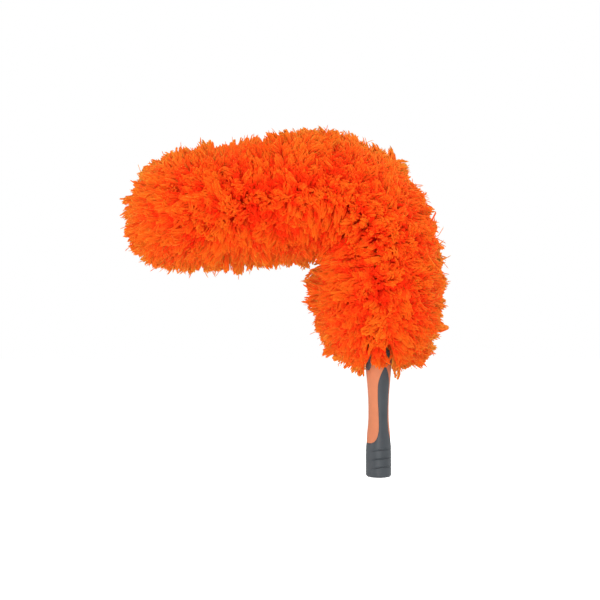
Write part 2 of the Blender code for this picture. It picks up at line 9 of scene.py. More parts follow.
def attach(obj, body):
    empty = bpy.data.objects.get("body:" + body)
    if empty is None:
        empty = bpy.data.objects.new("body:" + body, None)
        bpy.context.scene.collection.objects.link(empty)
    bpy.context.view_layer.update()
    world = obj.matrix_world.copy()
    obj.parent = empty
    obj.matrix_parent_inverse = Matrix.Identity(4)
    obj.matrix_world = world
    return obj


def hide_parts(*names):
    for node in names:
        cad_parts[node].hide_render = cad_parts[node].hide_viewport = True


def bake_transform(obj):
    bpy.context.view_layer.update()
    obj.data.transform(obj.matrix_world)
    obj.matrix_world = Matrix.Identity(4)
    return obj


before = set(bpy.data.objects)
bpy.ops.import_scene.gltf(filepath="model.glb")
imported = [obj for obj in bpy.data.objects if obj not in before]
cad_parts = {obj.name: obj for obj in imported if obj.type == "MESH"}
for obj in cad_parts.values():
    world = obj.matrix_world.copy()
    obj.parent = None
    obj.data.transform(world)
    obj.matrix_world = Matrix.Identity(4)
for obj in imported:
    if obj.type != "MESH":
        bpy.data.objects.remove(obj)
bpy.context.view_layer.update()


# ---------------------------------------------------------------------------------------
# Handle body: dark grey polypropylene, injection moulded with a fine spark-eroded skin.
# The turned grip, waist and neck are one moulding; its pointed tongues run up between the
# lobes of the soft inlay.
# ---------------------------------------------------------------------------------------

def start_finish(name, roughness, **sockets):
    """Make a material with its Principled shader's even sockets set."""
    material = bpy.data.materials.new(name)
    material.use_nodes = True
    shader = material.node_tree.nodes["Principled BSDF"]
    shader.inputs["Roughness"].default_value = roughness
    for socket, value in sockets.items():
        shader.inputs[socket.replace("_", " ")].default_value = value
    return material, shader


def add_node(material, kind, values=None, **settings):
    """Add a node to a material or the world, with its settings and its sockets' values."""
    node = material.node_tree.nodes.new(kind)
    for name, value in settings.items():
        setattr(node, name, value)
    for name, value in (values or {}).items():
        node.inputs[name].default_value = value
    return node


def join(material, source, output, target, socket):
    """Link one node's output to another's socket."""
    material.node_tree.links.new(source.outputs[output], target.inputs[socket])


def speckle(material, scale, detail=2.0):
    """Add a noise over the piece's own place, at so many grains a metre."""
    place = add_node(material, "ShaderNodeTexCoord")
    grain = add_node(material, "ShaderNodeTexNoise", {"Scale": scale, "Detail": detail})
    join(material, place, "Object", grain, "Vector")
    return grain


# Most of a noise's values lie between these two.
NOISE_LOW, NOISE_HIGH = 0.3, 0.7


def colour_ramp(material, source, output, low, high, low_at=NOISE_LOW, high_at=NOISE_HIGH):
    """Run from a low to a high colour as a node's output goes from low_at to high_at."""
    ramp = add_node(material, "ShaderNodeValToRGB")
    ramp.color_ramp.elements[0].position = low_at
    ramp.color_ramp.elements[0].color = (*low, 1)
    ramp.color_ramp.elements[1].position = high_at
    ramp.color_ramp.elements[1].color = (*high, 1)
    join(material, source, output, ramp, "Fac")
    return ramp


def colour_between(material, source, output, shader, low, high):
    """Colour a shader from low to high by a noise's output."""
    ramp = colour_ramp(material, source, output, low, high)
    join(material, ramp, "Color", shader, "Base Color")


def emboss(material, source, output, shader, depth, strength):
    """Raise a shader's surface by a node's output."""
    bump = add_node(material, "ShaderNodeBump", {"Strength": strength, "Distance": depth})
    join(material, source, output, bump, "Height")
    join(material, bump, "Normal", shader, "Normal")


def rough_between(material, source, output, shader, low, high):
    """Vary a shader's roughness from low to high by a noise's output."""
    spread = add_node(material, "ShaderNodeMapRange", {
        "From Min": NOISE_LOW, "From Max": NOISE_HIGH, "To Min": low, "To Max": high})
    join(material, source, output, spread, "Value")
    join(material, spread, "Result", shader, "Roughness")


# How many clouds of flow a moulding shows to the metre.
FLOW_CLOUDS = 55


def moulded_finish(name, dark, light, roughness, grains, grain_depth, **sockets):
    """Make a moulded plastic: a fine even skin, faint flow clouding and a satin sheen."""
    material, shader = start_finish(name, roughness, **sockets)
    clouds = speckle(material, FLOW_CLOUDS, 3.0)
    colour_between(material, clouds, "Fac", shader, dark, light)
    rough_between(material, clouds, "Fac", shader, roughness - 0.05, roughness + 0.05)
    emboss(material, speckle(material, grains), "Fac", shader, grain_depth, 0.6)
    return material


def paint(node, material):
    """Give a CAD node its finish."""
    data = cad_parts[node].data
    data.materials.clear()
    data.materials.append(material)


grey_plastic = moulded_finish(
    "grey_plastic_skin", dark=(0.040, 0.046, 0.052), light=(0.050, 0.057, 0.064),
    roughness=0.46, grains=2600, grain_depth=0.00006, Specular_IOR_Level=0.25)
paint("handle_body", grey_plastic)


# ---------------------------------------------------------------------------------------
# Pole thread: the ridge moulded inside the socket, which an extension pole screws into.
# It is part of the handle's moulding and is seen only from below.
# ---------------------------------------------------------------------------------------
SOCKET_RADIUS = 0.0099
THREAD_PITCH = 0.0042
THREAD_TURNS = 10
THREAD_START = 0.0035
THREAD_DEPTH = 0.0008
THREAD_STEPS = 40
SMOOTH_ANGLE = math.radians(40)
MERGE_GAP = 0.00001


def clear_selection():
    """Leave object mode's selection empty, so that an operator meets only new work."""
    if bpy.context.mode != 'OBJECT':
        bpy.ops.object.mode_set(mode='OBJECT')
    bpy.ops.object.select_all(action='DESELECT')


def pick_up(piece):
    """Select one piece alone and make it the active one."""
    clear_selection()
    piece.select_set(True)
    bpy.context.view_layer.objects.active = piece


def apply_modifiers(piece):
    """Apply a piece's modifiers from the top of its stack down."""
    pick_up(piece)
    for modifier in list(piece.modifiers):
        bpy.ops.object.modifier_apply(modifier=modifier.name)


def dress(piece, name, material):
    """Name a finished piece, settle its place into its mesh and give it its finish."""
    pick_up(piece)
    piece.name = name
    piece.data.name = name
    bpy.ops.object.transform_apply(location=True, rotation=True, scale=True)
    piece.data.materials.clear()
    piece.data.materials.append(material)
    bpy.ops.object.shade_smooth_by_angle(angle=SMOOTH_ANGLE)


def outward(piece):
    """Merge a closed piece's doubles and turn all its faces outwards."""
    pick_up(piece)
    bpy.ops.object.mode_set(mode='EDIT')
    bpy.ops.mesh.select_all(action='SELECT')
    bpy.ops.mesh.remove_doubles(threshold=MERGE_GAP)
    bpy.ops.mesh.normals_make_consistent(inside=False)
    bpy.ops.object.mode_set(mode='OBJECT')


clear_selection()
bpy.ops.mesh.primitive_circle_add(vertices=4, radius=THREAD_DEPTH, fill_type='NGON',
                                  location=(SOCKET_RADIUS, 0, THREAD_START),
                                  rotation=(math.radians(90), 0, 0))
thread = bpy.context.object
bpy.ops.object.transform_apply(location=True, rotation=True, scale=True)
ridge = thread.modifiers.new("thread", 'SCREW')
ridge.steps = ridge.render_steps = THREAD_STEPS
ridge.iterations = THREAD_TURNS
ridge.screw_offset = THREAD_PITCH
ridge.use_merge_vertices = False
apply_modifiers(thread)
outward(thread)
dress(thread, "pole_thread", grey_plastic)
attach(thread, "handle")


# ---------------------------------------------------------------------------------------
# Grip inlay: soft orange rubber, moulded over the handle body in a second shot. It has a
# dull, slightly velvety skin.
# ---------------------------------------------------------------------------------------
soft_rubber = moulded_finish(
    "soft_rubber_skin", dark=(0.51, 0.160, 0.070), light=(0.585, 0.190, 0.084),
    roughness=0.62, grains=3400, grain_depth=0.00005, Sheen_Weight=0.15,
    Sheen_Roughness=0.4, Specular_IOR_Level=0.35)
paint("grip_inlay", soft_rubber)


# ---------------------------------------------------------------------------------------
# Neck collar: a grey plastic ring snapped round the neck, its two lugs lying over the
# inlay's sides. It is moulded in the handle's plastic; its colour is painted lighter than
# the handle's, as painted light against the pile's shade on it, and its finish is duller.
# ---------------------------------------------------------------------------------------
# A lit copy of the handle's grey: painted light, lighter than the plastic's own colour.
collar_plastic_painted_light = moulded_finish(
    "collar_skin_painted_light", dark=(0.105, 0.108, 0.114), light=(0.130, 0.133, 0.140),
    roughness=0.50, grains=2600, grain_depth=0.00006, Specular_IOR_Level=0.25)
paint("neck_collar", collar_plastic_painted_light)


# ---------------------------------------------------------------------------------------
# Core plug and its pin: the plug is turned from grey plastic and seats the wire's ends in
# the handle's top; a ground steel pin goes through handle and plug.
# ---------------------------------------------------------------------------------------
# The plug takes the collar's grey, painted lighter as painted light.
paint("core_plug", collar_plastic_painted_light)
pin_steel, pin_shader = start_finish("ground_steel", 0.3, Metallic=1.0)
pin_grain = speckle(pin_steel, 900, 4.0)
colour_between(pin_steel, pin_grain, "Fac", pin_shader, (0.50, 0.50, 0.51), (0.66, 0.66, 0.68))
rough_between(pin_steel, pin_grain, "Fac", pin_shader, 0.22, 0.38)
paint("core_pin", pin_steel)


# ---------------------------------------------------------------------------------------
# Wire core: one spring-free steel wire in a pale plastic coat, bent into a hairpin. The
# bend is drawn in three stretches, as many as the hinges that stand in for it.
# ---------------------------------------------------------------------------------------
BEND_START = 0.254
BEND_RADIUS = 0.079
BEND_ANGLE = math.radians(94)
BEND_END = BEND_START + BEND_RADIUS * BEND_ANGLE
BEND_CENTRE = Vector((-BEND_RADIUS, 0, BEND_START))
BEND_BODIES = ("handle", "bend_link_1", "bend_link_2", "head")
BEND_STRETCHES = len(BEND_BODIES) - 1
WIRE_RADIUS = 0.0021
WIRE_OFFSET = 0.0050
WIRE_SIDES = 14
WIRE_ROWS = 8


def along_core(points):
    """Place points of the straight duster, along Z, on the bent one."""
    out, side, along = points[..., 0], points[..., 1], points[..., 2]
    turn = np.clip((along - BEND_START) / BEND_RADIUS, 0, BEND_ANGLE)
    straight = along - BEND_START - turn * BEND_RADIUS
    reach = BEND_RADIUS + out
    x = BEND_CENTRE.x + np.cos(turn) * reach - np.sin(turn) * straight
    z = BEND_CENTRE.z + np.sin(turn) * reach + np.cos(turn) * straight
    return np.stack([x, side, z], axis=-1)


def mesh_points(piece):
    """Read a piece's vertices as an array."""
    points = np.empty(len(piece.data.vertices) * 3)
    piece.data.vertices.foreach_get("co", points)
    return points.reshape(-1, 3)


def lay_along_core(piece):
    """Bend a finished straight piece with the core."""
    piece.data.vertices.foreach_set("co", along_core(mesh_points(piece)).ravel())
    piece.data.update()


def stretch_ends(stretch):
    """Give where a stretch of the bend starts and ends along the core."""
    length = BEND_END - BEND_START
    return (BEND_START + length * stretch / BEND_STRETCHES,
            BEND_START + length * (stretch + 1) / BEND_STRETCHES)


def flex(piece):
    """Settle a piece's place into its mesh."""
    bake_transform(piece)


def edit_picked(piece, kind, rule):
    """Open a piece in edit mode with just the parts of one kind selected that a rule picks."""
    bpy.ops.object.mode_set(mode='EDIT')
    bpy.ops.mesh.select_mode(type=kind)
    bpy.ops.mesh.select_all(action='DESELECT')
    bpy.ops.object.mode_set(mode='OBJECT')
    parts = {'VERT': piece.data.vertices, 'EDGE': piece.data.edges, 'FACE': piece.data.polygons}
    for part in parts[kind]:
        part.select = bool(rule(part))
    bpy.ops.object.mode_set(mode='EDIT')


def cut_into_rows(piece, rows, least):
    """Cut a piece's upright edges, which rise by more than least, into so many rows."""
    def upright(edge):
        low, high = sorted(piece.data.vertices[index].co.z for index in edge.vertices)
        return high - low > least
    edit_picked(piece, 'EDGE', upright)
    bpy.ops.mesh.subdivide(number_cuts=rows - 1)
    bpy.ops.object.mode_set(mode='OBJECT')


wire_coat, wire_shader = start_finish("wire_coat", 0.35, Coat_Weight=0.3, Coat_Roughness=0.2)
wire_clouds = speckle(wire_coat, 300, 3.0)
colour_between(wire_coat, wire_clouds, "Fac", wire_shader,
               (0.50, 0.50, 0.51), (0.60, 0.60, 0.61))
emboss(wire_coat, wire_clouds, "Fac", wire_shader, 0.00008, 0.4)
for node in ("wire_lower_front", "wire_lower_back", "wire_hairpin"):
    paint(node, wire_coat)

# The CAD's two stretches are drawn as three, one over each hinge, so that the middle one
# takes the place of both.
for stretch in range(BEND_STRETCHES):
    low, high = stretch_ends(stretch)
    legs = []
    for side in (-WIRE_OFFSET, WIRE_OFFSET):
        clear_selection()
        bpy.ops.mesh.primitive_cylinder_add(vertices=WIRE_SIDES, radius=WIRE_RADIUS,
                                            depth=high - low,
                                            location=(0, side, (low + high) / 2))
        legs.append(bpy.context.object)
        cut_into_rows(legs[-1], WIRE_ROWS, WIRE_RADIUS)
    pair, second_leg = legs
    pick_up(pair)
    second_leg.select_set(True)
    bpy.ops.object.join()
    dress(pair, f"wire_pair_{stretch + 1}", wire_coat)
    lay_along_core(pair)
    if stretch < 2:
        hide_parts("wire_bend_1_front", "wire_bend_1_back")
    if stretch > 0:
        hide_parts("wire_bend_2_front", "wire_bend_2_back")
    flex(pair)


# ---------------------------------------------------------------------------------------
# Tip cap: milky vinyl, dipped over the hairpin's end so that the wire does not wear
# through the sleeve.
# ---------------------------------------------------------------------------------------
milky_vinyl, vinyl_shader = start_finish("milky_vinyl", 0.5)
vinyl_clouds = speckle(milky_vinyl, 160, 3.0)
colour_between(milky_vinyl, vinyl_clouds, "Fac", vinyl_shader,
               (0.74, 0.74, 0.73), (0.83, 0.83, 0.82))
rough_between(milky_vinyl, vinyl_clouds, "Fac", vinyl_shader, 0.42, 0.56)
paint("tip_cap", milky_vinyl)


# ---------------------------------------------------------------------------------------
# Backing sleeve: a pale knitted tube that the yarn is tufted through, sewn shut at the far
# end. Below, it widens into a gathered hem, bound in tape and drawn in over the collar;
# the tape's dark grey is painted shade.
# ---------------------------------------------------------------------------------------
SLEEVE_RADIUS = 0.0101
SLEEVE_WALL = 0.0012
HEM_RADIUS = 0.0175
HEM_BOTTOM = 0.147
HEM_TOP = 0.1616
BINDING_TOP = 0.1600
TAPER_TOP = 0.1756
SLEEVE_END = 0.5466
HEM_GATHERS = 26
GATHER_DEPTH = 0.0005
# The gathers fade out over this height, round the taper's top.
GATHER_FADE = 0.02
STITCHES_ROUND = 44
STITCH_HEIGHT = 0.0013
SLEEVE_SIDES = 52
HEM_ROWS, BEND_ROWS, UPPER_ROWS = 36, 10, 24
# The binding tape's dark greys are painted shade.
TAPE_PAINTED_SHADE_COLOURS = ((0.050, 0.042, 0.044), (0.095, 0.083, 0.086))


def knitted_finish():
    """Make the knit, rows of V stitches on the tube's own map, and its painted-shade tape at
    the hem.
    """
    material, shader = start_finish("pale_knit", 0.9, Sheen_Weight=0.3, Sheen_Roughness=0.5)
    where = add_node(material, "ShaderNodeUVMap", uv_map="UVMap")
    across = add_node(material, "ShaderNodeTexWave", {
        "Scale": 1.0, "Distortion": 0.6, "Detail": 1.0, "Detail Scale": 2.0},
        wave_type='BANDS', bands_direction='X')
    rows = add_node(material, "ShaderNodeTexWave", {
        "Scale": 0.5, "Distortion": 1.6, "Detail": 1.0, "Detail Scale": 1.0},
        wave_type='BANDS', bands_direction='DIAGONAL')
    join(material, where, "UV", across, "Vector")
    join(material, where, "UV", rows, "Vector")
    stitch = add_node(material, "ShaderNodeMath", operation='MULTIPLY')
    join(material, across, "Fac", stitch, 0)
    join(material, rows, "Fac", stitch, 1)
    knit = colour_ramp(material, stitch, "Value", (0.66, 0.46, 0.42), (0.87, 0.73, 0.70),
                       0.05, 0.6)
    tape = colour_ramp(material, stitch, "Value", *TAPE_PAINTED_SHADE_COLOURS, 0, 1)
    place = add_node(material, "ShaderNodeTexCoord")
    heights = add_node(material, "ShaderNodeSeparateXYZ")
    join(material, place, "Object", heights, "Vector")
    bound = add_node(material, "ShaderNodeMapRange", {
        "From Min": BINDING_TOP - 0.0002, "From Max": BINDING_TOP + 0.0002})
    join(material, heights, "Z", bound, "Value")
    cloth = add_node(material, "ShaderNodeMix", data_type='RGBA')
    join(material, bound, "Result", cloth, "Factor")
    join(material, tape, "Color", cloth, 6)
    join(material, knit, "Color", cloth, 7)
    join(material, cloth, 2, shader, "Base Color")
    emboss(material, stitch, "Value", shader, 0.0004, 0.8)
    return material


pale_knit = knitted_finish()


def knitted_tube(low, high, rows, closed_end=False):
    """Model a stretch of the sleeve: a tube in rows, open or with a rounded far end."""
    clear_selection()
    bpy.ops.mesh.primitive_cylinder_add(vertices=SLEEVE_SIDES, radius=SLEEVE_RADIUS,
                                        depth=high - low, location=(0, 0, (low + high) / 2),
                                        end_fill_type='NGON' if closed_end else 'NOTHING')
    tube = bpy.context.object
    bpy.ops.object.transform_apply(location=True)
    cut_into_rows(tube, rows, SLEEVE_WALL)
    if closed_end:
        edit_picked(tube, 'FACE', lambda face: (len(face.vertices) > 4
                                                and face.center.z < low + SLEEVE_WALL))
        bpy.ops.mesh.delete(type='ONLY_FACE')
        edit_picked(tube, 'FACE', lambda face: len(face.vertices) > 4)
        bpy.ops.mesh.bevel(offset=2 * SLEEVE_WALL, segments=4, affect='EDGES')
        bpy.ops.object.mode_set(mode='OBJECT')
    return tube


def finish_tube(tube, name):
    """Wall a tube, map its stitches, give it its finish and bend it."""
    wall = tube.modifiers.new("wall", 'SOLIDIFY')
    wall.thickness = SLEEVE_WALL
    wall.offset = -1
    apply_modifiers(tube)
    data = tube.data
    corners = np.empty(len(data.loops), np.int32)
    data.loops.foreach_get("vertex_index", corners)
    starts = np.empty(len(data.polygons), np.int32)
    data.polygons.foreach_get("loop_start", starts)
    places = mesh_points(tube)[corners]
    angle = np.arctan2(places[:, 1], places[:, 0]) / (2 * math.pi)
    first = np.repeat(angle[starts], np.diff(np.append(starts, len(corners))))
    angle = angle + (angle < first - 0.5) - (angle > first + 0.5)
    mapped = np.stack([angle * STITCHES_ROUND, places[:, 2] / STITCH_HEIGHT / 2], axis=-1)
    data.uv_layers["UVMap"].data.foreach_set("uv", mapped.ravel())
    dress(tube, name, pale_knit)
    lay_along_core(tube)


def eased(value, start, reach):
    """Ease from 0 to 1 as a value passes from start over its reach."""
    share = np.clip((value - start) / reach, 0, 1)
    return share * share * (3 - 2 * share)


def sleeve_radius(along):
    """Give the sleeve's outer radius: the hem, its taper and the plain tube."""
    taper = eased(along, HEM_TOP, TAPER_TOP - HEM_TOP)
    return HEM_RADIUS + (SLEEVE_RADIUS - HEM_RADIUS) * taper


hem = knitted_tube(HEM_BOTTOM, BEND_START, HEM_ROWS)
shape = mesh_points(hem)
hem_angle = np.arctan2(shape[:, 1], shape[:, 0])
gathers = np.clip((TAPER_TOP + GATHER_FADE / 2 - shape[:, 2]) / GATHER_FADE, 0, 1)
widths = (sleeve_radius(shape[:, 2])
          - gathers * GATHER_DEPTH * (1 - np.cos(hem_angle * HEM_GATHERS)) / 2)
shape[:, 0], shape[:, 1] = widths * np.cos(hem_angle), widths * np.sin(hem_angle)
hem.data.vertices.foreach_set("co", shape.ravel())
finish_tube(hem, "knit_hem")
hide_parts("sleeve_lower")
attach(hem, "handle")

for stretch in range(BEND_STRETCHES):
    tube = knitted_tube(*stretch_ends(stretch), BEND_ROWS)
    finish_tube(tube, f"knit_bend_{stretch + 1}")
    if stretch < 2:
        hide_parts("sleeve_bend_1")
    if stretch > 0:
        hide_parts("sleeve_bend_2")
    flex(tube)

tube = knitted_tube(BEND_END, SLEEVE_END, UPPER_ROWS, closed_end=True)
finish_tube(tube, "knit_upper")
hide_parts("sleeve_upper")
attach(tube, "head")


# ---------------------------------------------------------------------------------------
# Neck elastic: a braided elastic cord round the hem, which keeps the head on the collar.
# ---------------------------------------------------------------------------------------
ELASTIC_RING = 0.0193
ELASTIC_RADIUS = 0.0015
ELASTIC_HEIGHT = 0.151
CASING_WALL = 0.0004


def hem_ring(name, cord_radius, material):
    """Model a ring round the hem, of a cord of the given radius."""
    clear_selection()
    bpy.ops.mesh.primitive_torus_add(major_radius=ELASTIC_RING, minor_radius=cord_radius,
                                     major_segments=96, minor_segments=12,
                                     location=(0, 0, ELASTIC_HEIGHT))
    ring = bpy.context.object
    dress(ring, name, material)
    return ring


braid, braid_shader = start_finish("braided_elastic", 0.8,
                                   Sheen_Weight=0.2, Sheen_Roughness=0.5)
braid_map = add_node(braid, "ShaderNodeUVMap", uv_map="UVMap")
braid_turn = add_node(braid, "ShaderNodeMapping", {"Scale": (60, 3, 1)})
join(braid, braid_map, "UV", braid_turn, "Vector")
braid_lines = add_node(braid, "ShaderNodeTexWave", {"Scale": 0.5}, bands_direction='DIAGONAL')
join(braid, braid_turn, "Vector", braid_lines, "Vector")
colour_between(braid, braid_lines, "Fac", braid_shader, (0.48, 0.09, 0.03), (0.78, 0.23, 0.09))
emboss(braid, braid_lines, "Fac", braid_shader, 0.0004, 0.8)

elastic = hem_ring("elastic_ring", ELASTIC_RADIUS, braid)
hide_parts("neck_elastic")
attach(elastic, "handle")

# The hem's tape is folded over the cord as its casing, in the same dark grey of painted shade.
tape, tape_shader = start_finish("binding_tape_painted_shade", 0.85, Sheen_Weight=0.2, Sheen_Roughness=0.5)
tape_grain = speckle(tape, 900)
colour_between(tape, tape_grain, "Fac", tape_shader, *TAPE_PAINTED_SHADE_COLOURS)
emboss(tape, tape_grain, "Fac", tape_shader, 0.0003, 0.6)

casing = hem_ring("elastic_casing", ELASTIC_RADIUS + CASING_WALL, tape)
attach(casing, "handle")


# ---------------------------------------------------------------------------------------
# Pile: thousands of soft microfibre strands, tufted through the sleeve and standing off
# it all round. They gather in small pointed tufts, and those in soft lobes with hollows
# between them, which lie deeper and are painted redder as painted shade; at the neck and
# the tip they fan out and close the head's ends.
# ---------------------------------------------------------------------------------------
STRAND_COUNT = 68000
STRAND_RADIUS = 0.00104
STRAND_ROWS = (0, 0.42, 0.66, 0.84, 0.975, 1)
STRAND_THICKNESS = (0.7, 1.25)
# Ends stand a little proud of the pile's outline, some more than others, and none deeper
# than this.
MEAN_RISE, STRAND_RISE, DEEPEST_END = 0.0018, 0.0016, -0.0090
# This share of the strands is long; the others are short and thick and fill in below.
LONG_SHARE = 0.58
SHORT_BY, SHORT_THICKNESS = (0.0018, 0.0065), 1.7
# A few strands stray out of the pile, more of them at the skirt, and are thin.
STRAY_SHARE, SKIRT_STRAY_SHARE = 0.045, 0.07
STRAY_REACH, STRAY_THICKNESS = (0.002, 0.008), 0.45
# A tuft's strands leave the sleeve close together, with this scatter along and round it.
ROOT_GATHER, ROOT_SCATTER, ROOT_TURN = 0.7, 0.0015, 0.08
SKIRT_ROOT, LOWEST_ROOT = 0.156, 0.1545
# Each strand has a wave of its own: its turns and its width.
WAVE_TURNS, WAVE_WIDTH = (0.6, 1.8), 0.0010
PILE_RADIUS = 0.079
PILE_END = BEND_END + 0.222
TIP_RADIUS = 0.0735
TIP_CENTRE = PILE_END - 0.002 - TIP_RADIUS
TUFT_COUNT = 2300
TUFT_SIZE = 0.0065
TUFT_RISE, TUFT_LEAN = 0.0020, 0.0034
# A tuft's strands are drawn to its middle, swept to its side and highest in its middle.
TUFT_PULL, TUFT_SWEEP, TUFT_CROWN = (0.15, 0.60), (0.0, 1.2), 0.0045
LOBE_COUNT = 360
LOBE_SIZE = 0.029
LOBE_RISE, LOBE_LEAN = 0.0026, 0.0055
# The hollows between lobes lie this much deeper, and are painted this much redder as painted
# shade.
HOLLOW_DEPTH, HOLLOW_SHADE = 0.0055, 0.40
# Heights and radii from the skirt's mouth up to the straight body, which starts above it.
NECK_OUTLINE = ((0.128, 0.021), (0.134, 0.036), (0.139, 0.050), (0.148, 0.060),
                (0.158, 0.066), (0.168, 0.071), (0.179, 0.078))
BODY_START = 0.185
# From here the body grows slimmer over a short way towards the tip.
SLIM_START, SLIM_REACH = 0.42, 0.07
# The far end hangs down by this much at its tip, and level strands by this much anywhere.
DROOP = 0.014
DROOP_START = 0.450
SAG = 0.003
# On the bend's inside the strands stop at about this distance from the core's line.
INNER_STOP, INNER_SCATTER = -0.0785, 0.014
# Swells and dips of the whole pile: place along the core, angle round it in degrees, rise
# and spread.
SWELLS = ((0.3275, 0, 0.011, 0.018), (0.378, 0, 0.005, 0.026), (0.305, 0, -0.005, 0.018),
          (0.284, 0, -0.003, 0.016), (0.340, 0, -0.011, 0.010), (0.340, 20, -0.010, 0.010),
          (0.340, -20, -0.010, 0.010), (0.258, 0, -0.003, 0.016), (0.226, 180, 0.008, 0.030),
          (0.478, 180, 0.011, 0.032), (0.170, 0, -0.005, 0.020), (0.435, 0, -0.002, 0.030),
          (0.318, -118, 0.006, 0.024), (0.318, 118, 0.006, 0.024))
# Partings of the skirt, from which the collar looks out: at each height, from left to right.
# They lie in an upright plane before the collar, as the photograph's camera sees it from a
# little above and a little to the left.
PARTING_PLANE = -0.014
PARTING_MARGIN = 0.0014
SIGHT_ACROSS, SIGHT_DOWN = 0.06, 0.054
SKIRT_TOP = 0.185
PARTINGS = (
    ((0.1260, -0.0175, -0.0102), (0.1290, -0.0175, -0.0098), (0.1360, -0.0172, -0.0098),
     (0.1410, -0.0148, -0.0098), (0.1460, -0.0126, -0.0097), (0.1500, -0.0118, -0.0106)),
    ((0.1440, 0.0095, 0.0135), (0.1462, 0.0076, 0.0154), (0.1530, 0.0076, 0.0152),
     (0.1560, 0.0090, 0.0138), (0.1590, 0.0100, 0.0126)),
    ((0.1340, 0.0160, 0.0188), (0.1360, 0.0138, 0.0188), (0.1405, 0.0130, 0.0172)),
    ((0.1508, -0.0143, -0.0130), (0.1590, -0.0142, -0.0126)),
)
# How low the skirt hangs over the handle's front, from left to right.
FRINGE = ((-0.0100, 0.1335), (-0.0060, 0.1290), (0.0035, 0.1270), (0.0065, 0.1325),
          (0.0095, 0.1385), (0.0165, 0.1400))
FRINGE_MIDDLE, FRINGE_REACH, FRINGE_FRONT = 0.0010, 0.0155, -0.004
FRINGE_SLOPE = 0.055
# Pointed locks that hang out of the pile: where they start, where their longest strand
# reaches to, how many strands they have and whether the partings comb them aside too. The
# last one lies at the bend's front, the others round the skirt.
LOCKS = (((-0.0232, -0.006, 0.1330), (-0.0240, -0.004, 0.1200), 24, True),
         ((0.0150, -0.014, 0.1360), (0.0208, -0.010, 0.1165), 16, False),
         ((0.0325, -0.004, 0.1350), (0.0336, -0.003, 0.1275), 14, True),
         ((0.0530, -0.004, 0.1420), (0.0545, -0.003, 0.1355), 14, True),
         ((-0.0395, -0.004, 0.1370), (-0.0410, -0.003, 0.1290), 14, True),
         ((0.0780, -0.006, 0.1830), (0.0850, -0.005, 0.1800), 26, True),
         ((-0.0065, -0.074, 0.2680), (0.0070, -0.076, 0.2660), 44, False))
chance = np.random.RandomState(181)


def yarn_finish():
    """Make the microfibre: painted shade reddens its roots, painted light lightens its tips,
    and tufts differ in tone.
    """
    material, shader = start_finish("microfibre", 0.9, Specular_IOR_Level=0.08,
                                    Subsurface_Weight=0.40, Subsurface_Scale=0.003,
                                    Sheen_Weight=0.65, Sheen_Roughness=0.5,
                                    Sheen_Tint=(1.0, 0.66, 0.09, 1))
    # Painted shade at the roots and at deep ends, painted light at the tips.
    length = add_node(material, "ShaderNodeAttribute", attribute_name="root_to_tip_shade")
    shade_by_length = colour_ramp(material, length, "Fac", (1.0, 0.011, 0.001), (1.0, 0.135, 0.006),
                            0.40, 1.0)
    shade_by_length.color_ramp.elements.new(0.80).color = (1.0, 0.045, 0.003, 1)
    # A random tone per tuft and strand, with painted shade in hollows and at tufts' edges and
    # painted light at the head's ends.
    tint = add_node(material, "ShaderNodeAttribute", attribute_name="yarn_tint_and_shade")
    tint_and_shade_ramp = colour_ramp(material, tint, "Fac", (1.0, 0.010, 0.001), (1.0, 0.135, 0.006), 0, 1)
    shades = add_node(material, "ShaderNodeMix", {"Factor": 0.5}, data_type='RGBA')
    join(material, shade_by_length, "Color", shades, 6)
    join(material, tint_and_shade_ramp, "Color", shades, 7)
    join(material, shades, 2, shader, "Base Color")
    return material


microfibre = yarn_finish()


def model_strand():
    """Model one straight strand by hand: three-sided, in rows, closed to a point at its tip."""
    clear_selection()
    bpy.ops.mesh.primitive_cylinder_add(vertices=3, radius=1, depth=1, location=(0, 0, 0.5))
    strand = bpy.context.object
    bpy.ops.object.transform_apply(location=True)
    cut_into_rows(strand, len(STRAND_ROWS) - 1, 0.5)
    for row, height in enumerate(STRAND_ROWS):
        even = row / (len(STRAND_ROWS) - 1)
        # Its fibres spread towards the end, where it is wider.
        width = 0.80 + 0.40 * height - 0.25 * height ** 8
        edit_picked(strand, 'VERT', lambda vertex: abs(vertex.co.z - even) < 0.01)
        if height == 1:
            bpy.ops.mesh.merge(type='CENTER')
        else:
            bpy.ops.transform.resize(value=(width, width, 1))
        bpy.ops.object.mode_set(mode='OBJECT')
    outward(strand)
    return strand


strand = model_strand()
strand_shape = mesh_points(strand)
strand_row = np.rint(strand_shape[:, 2] * (len(STRAND_ROWS) - 1)).astype(int)
strand_faces = [list(face.vertices) for face in strand.data.polygons]
bpy.data.objects.remove(strand)


def pile_outline():
    """Run the pile's outline from the neck over the straight body to the round tip."""
    outline = [np.array(point) for point in NECK_OUTLINE]
    for along in np.linspace(BODY_START, TIP_CENTRE, 90):
        slim = (PILE_RADIUS - TIP_RADIUS) * eased(along, SLIM_START, SLIM_REACH)
        outline.append(np.array((along, PILE_RADIUS - slim)))
    for angle in np.radians(np.linspace(2, 90, 45)):
        outline.append(np.array((TIP_CENTRE + TIP_RADIUS * math.sin(angle),
                                 TIP_RADIUS * math.cos(angle))))
    return np.array(outline)


outline = pile_outline()
steps = np.linalg.norm(np.diff(outline, axis=0), axis=1)
outline_length = np.append(0, np.cumsum(steps))


def around(radius, angle, along):
    """Turn a radius, an angle and a height into points of the straight duster."""
    rows = np.broadcast_arrays(radius * np.cos(angle), radius * np.sin(angle), along)
    return np.stack(rows, axis=-1)


def cover(draws, count):
    """Place ends over the bent pile's surface by draws from 0 to 1; give lengths and angles."""
    length, angle = draws[:, 0] * outline_length[-1], (2 * draws[:, 1] - 1) * math.pi
    along = np.interp(length, outline_length, outline[:, 0])
    radius = np.interp(length, outline_length, outline[:, 1])
    bending = (along > BEND_START) & (along < BEND_END)
    area = radius * np.where(bending, (BEND_RADIUS + radius * np.cos(angle)) / BEND_RADIUS, 1)
    kept = draws[:, 2] * 2 * PILE_RADIUS < area
    return length[kept][:count], angle[kept][:count]


